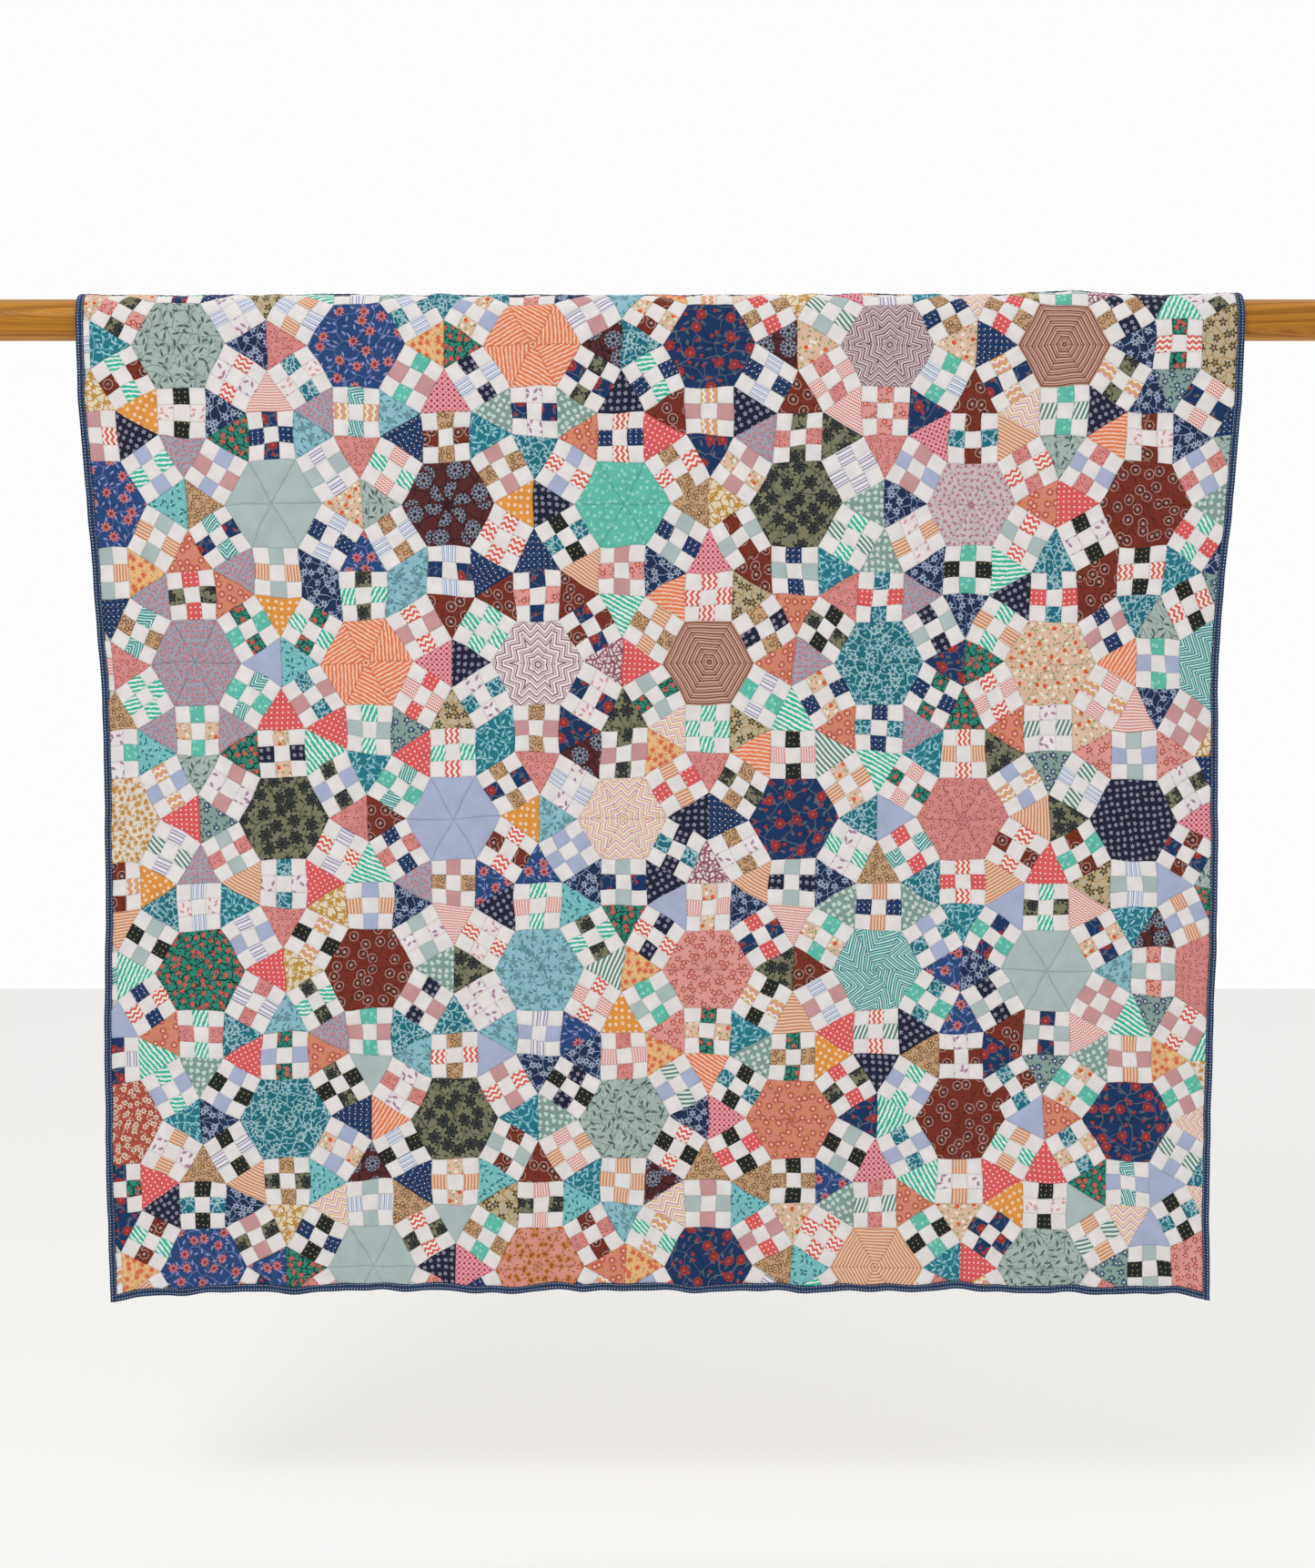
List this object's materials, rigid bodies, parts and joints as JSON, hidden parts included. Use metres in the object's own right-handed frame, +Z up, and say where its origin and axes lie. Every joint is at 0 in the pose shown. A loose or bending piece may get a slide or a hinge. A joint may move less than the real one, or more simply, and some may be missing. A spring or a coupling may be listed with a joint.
{
  "type": "quilt on a wall rack",
  "caption": "Patchwork quilt of hexagons, nine-patch squares and triangles, hung by a cloth sleeve on a round wooden pole in two wall cradles.",
  "frame": {"origin": "middle of the rectangle of four wall screw holes, on the wall plane", "axes": "+X along the pole to the viewer's right, +Y into the wall, +Z up; the quilt's face looks towards -Y"},
  "size_m": [2.5234, 0.1646, 1.6508],
  "materials": {
    "bracket_wood": "oiled satin",
    "screw_steel": "zinc plated",
    "pole_wood": "satin varnish",
    "cap_wood": "satin varnish",
    "sleeve_cotton": "unbleached plain weave",
    "backing_cotton": "plain weave",
    "batting_fleece": "cotton fleece",
    "white_patch_cotton": "plain weave",
    "print_patch_cotton": "printed plain weave",
    "binding_print": "printed plain weave"
  },
  "bodies": {
    "rack": {"left_wall_plate": "bracket_wood", "right_wall_plate": "bracket_wood", "left_cradle_arm": "bracket_wood", "right_cradle_arm": "bracket_wood", "arm_screws": "screw_steel"},
    "pole": {"pole": "pole_wood", "left_end_cap": "cap_wood", "right_end_cap": "cap_wood"},
    "quilt_band": {"hanging_sleeve": "sleeve_cotton", "band_backing": "backing_cotton", "band_batting": "batting_fleece", "band_hexagons": "print_patch_cotton", "band_nine_patches": "white_patch_cotton", "band_ring_triangles": "print_patch_cotton", "band_gap_triangles": "print_patch_cotton", "band_edge_patches": "print_patch_cotton", "top_binding": "binding_print", "band_left_binding": "binding_print", "band_right_binding": "binding_print"},
    "quilt_drop": {"backing": "backing_cotton", "batting": "batting_fleece", "row_1_hexagons": "print_patch_cotton", "row_2_hexagons": "print_patch_cotton", "row_3_hexagons": "print_patch_cotton", "row_4_hexagons": "print_patch_cotton", "row_5_hexagons": "print_patch_cotton", "row_6_hexagons": "print_patch_cotton", "row_7_hexagons": "print_patch_cotton", "row_1_nine_patches": "white_patch_cotton", "row_2_nine_patches": "white_patch_cotton", "row_3_nine_patches": "white_patch_cotton", "row_4_nine_patches": "white_patch_cotton", "row_5_nine_patches": "white_patch_cotton", "row_6_nine_patches": "white_patch_cotton", "row_7_nine_patches": "white_patch_cotton", "row_1_ring_triangles": "print_patch_cotton", "row_2_ring_triangles": "print_patch_cotton", "row_3_ring_triangles": "print_patch_cotton", "row_4_ring_triangles": "print_patch_cotton", "row_5_ring_triangles": "print_patch_cotton", "row_6_ring_triangles": "print_patch_cotton", "row_7_ring_triangles": "print_patch_cotton", "gap_triangles": "print_patch_cotton", "edge_patches": "print_patch_cotton", "left_binding": "binding_print", "right_binding": "binding_print", "bottom_binding": "binding_print"}
  },
  "joints": [
    {"name": "pole_lift", "type": "slide", "parent": "rack", "child": "pole", "axis": [0, 0, 1], "range_m": [0, 0.1]},
    {"name": "quilt_slide", "type": "slide", "parent": "pole", "child": "quilt_band", "axis": [1, 0, 0], "range_m": [-0.2, 0.2]},
    {"name": "quilt_swing", "type": "hinge", "parent": "quilt_band", "child": "quilt_drop", "pos_m": [0, -0.15215, -0.066], "axis": [1, 0, 0], "range_deg": [-25, 5]}
  ]
}
